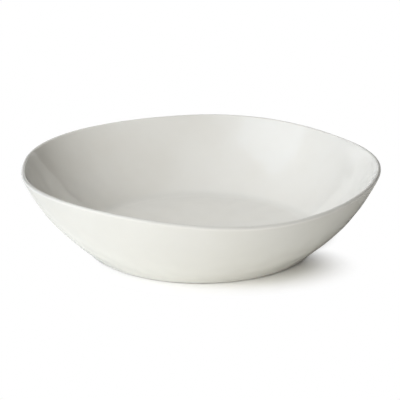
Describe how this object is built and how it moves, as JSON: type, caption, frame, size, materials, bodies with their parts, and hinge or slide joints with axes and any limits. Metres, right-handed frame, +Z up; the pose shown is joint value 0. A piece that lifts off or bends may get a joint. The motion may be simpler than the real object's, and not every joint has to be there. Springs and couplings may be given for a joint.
{
  "type": "serving bowl",
  "caption": "Wide, shallow serving bowl in glossy off-white glazed stoneware, with a gently uneven rim, a flat floor and a low bare foot ring to stand on.",
  "frame": {"origin": "on the table, at the axis of the foot ring, which is also the middle of the bowl's box to within a millimetre", "axes": "+Z up out of the bowl's mouth; +X to the right and +Y away from the viewer in the picture"},
  "size_m": [0.3, 0.3006, 0.0762],
  "materials": {
    "bare_stoneware": "matte",
    "white_glaze": "gloss",
    "base_white_glaze": "gloss"
  },
  "bodies": {
    "root": {"stoneware_body": "bare_stoneware", "glaze_coat": "white_glaze", "base_glaze": "base_white_glaze"}
  },
  "joints": []
}
